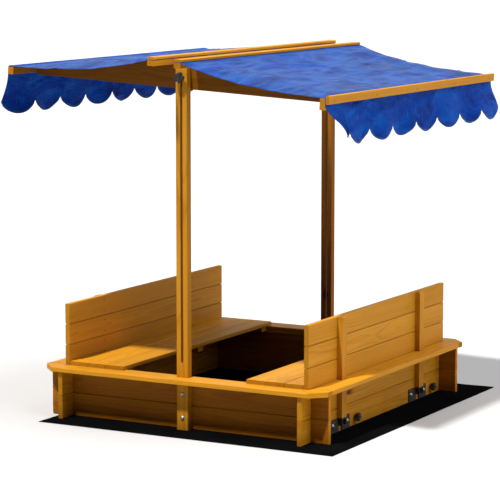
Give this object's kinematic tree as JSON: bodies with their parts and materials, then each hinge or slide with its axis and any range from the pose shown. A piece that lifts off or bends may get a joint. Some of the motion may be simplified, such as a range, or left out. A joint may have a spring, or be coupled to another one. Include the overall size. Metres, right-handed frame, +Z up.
{
  "type": "sandbox with cover",
  "caption": "Square timber sandbox with a flat rim, two slatted benches with backs, slotted posts and a tilting, height-adjustable fabric roof with scalloped edges.",
  "frame": {"origin": "on the ground, at the centre of the timber box", "axes": "+X to the box's right, +Y to its back, +Z up"},
  "size_m": [1.3636, 1.45, 1.3836],
  "materials": {
    "pine": "oiled, planed softwood",
    "blue_fabric": "plain woven, matt",
    "ground_fleece": "felted, matt",
    "black_plastic": "moulded, fine grain",
    "black_bracket": "powder coated",
    "zinc_steel": "zinc plated"
  },
  "bodies": {
    "box": {"ground_sheet": "ground_fleece", "wall_front_lower": "pine", "wall_front_upper": "pine", "wall_back_lower": "pine", "wall_back_upper": "pine", "wall_left_lower": "pine", "wall_left_upper": "pine", "wall_right_lower": "pine", "wall_right_upper": "pine", "rim_front": "pine", "rim_back": "pine", "rim_left": "pine", "rim_right": "pine", "rim_screws": "zinc_steel", "post_front": "pine", "post_back": "pine", "post_bolts": "zinc_steel", "post_nuts": "zinc_steel", "foot_brackets": "black_bracket", "bracket_nuts": "zinc_steel"},
    "carriage": {"roof_bolts": "zinc_steel", "roof_washers": "zinc_steel"},
    "roof": {"gable_front": "pine", "gable_back": "pine", "ridge_rail_left": "pine", "ridge_rail_right": "pine", "ridge_cap_left": "pine", "ridge_cap_right": "pine", "eave_rail_left": "pine", "eave_rail_right": "pine", "eave_cap_right": "pine", "roof_screws": "zinc_steel", "canopy_left": "blue_fabric", "canopy_right": "blue_fabric", "valance_left": "blue_fabric", "valance_right": "blue_fabric"},
    "knob_front": {"knob_front": "black_plastic"},
    "knob_back": {"knob_back": "black_plastic"},
    "back_left": {"back_left_slats": "pine", "back_left_battens": "pine", "back_left_screws": "zinc_steel"},
    "seat_left": {"seat_left_slats": "pine", "seat_left_battens": "pine", "seat_left_screws": "zinc_steel"},
    "back_right": {"back_right_slats": "pine", "back_right_battens": "pine", "back_right_screws": "zinc_steel"},
    "seat_right": {"seat_right_slats": "pine", "seat_right_battens": "pine", "seat_right_screws": "zinc_steel"},
    "side_knob_left_front": {"side_knob_left_front": "black_plastic"},
    "side_knob_left_back": {"side_knob_left_back": "black_plastic"},
    "side_knob_right_front": {"side_knob_right_front": "black_plastic"},
    "side_knob_right_back": {"side_knob_right_back": "black_plastic"}
  },
  "joints": [
    {"name": "roof_height", "type": "slide", "parent": "box", "child": "carriage", "axis": [0, 0, 1], "range_m": [-0.55, 0]},
    {"name": "roof_tilt", "type": "hinge", "parent": "carriage", "child": "roof", "pos_m": [0, 0, 1.304], "axis": [0, 1, 0], "range_deg": [-14, 8]},
    {"name": "front_clamp_turn", "type": "hinge", "parent": "carriage", "child": "knob_front", "pos_m": [0, -0.61, 1.304], "axis": [0, 1, 0], "continuous": true},
    {"name": "back_clamp_turn", "type": "hinge", "parent": "carriage", "child": "knob_back", "pos_m": [0, 0.61, 1.304], "axis": [0, 1, 0], "continuous": true},
    {"name": "left_back_lift", "type": "slide", "parent": "box", "child": "back_left", "axis": [0, 0, 1], "range_m": [0, 0.15]},
    {"name": "left_seat_slide", "type": "slide", "parent": "box", "child": "seat_left", "axis": [1, 0, 0], "range_m": [0, 0.22]},
    {"name": "right_back_lift", "type": "slide", "parent": "box", "child": "back_right", "axis": [0, 0, 1], "range_m": [0, 0.15]},
    {"name": "right_seat_slide", "type": "slide", "parent": "box", "child": "seat_right", "axis": [-1, 0, 0], "range_m": [0, 0.22]},
    {"name": "side_knob_left_front_turn", "type": "hinge", "parent": "box", "child": "side_knob_left_front", "pos_m": [-0.53, -0.208, 0.034], "axis": [1, 0, 0], "continuous": true},
    {"name": "side_knob_left_back_turn", "type": "hinge", "parent": "box", "child": "side_knob_left_back", "pos_m": [-0.53, 0.468, 0.034], "axis": [1, 0, 0], "continuous": true},
    {"name": "side_knob_right_front_turn", "type": "hinge", "parent": "box", "child": "side_knob_right_front", "pos_m": [0.53, -0.208, 0.034], "axis": [1, 0, 0], "continuous": true},
    {"name": "side_knob_right_back_turn", "type": "hinge", "parent": "box", "child": "side_knob_right_back", "pos_m": [0.53, 0.468, 0.034], "axis": [1, 0, 0], "continuous": true}
  ]
}
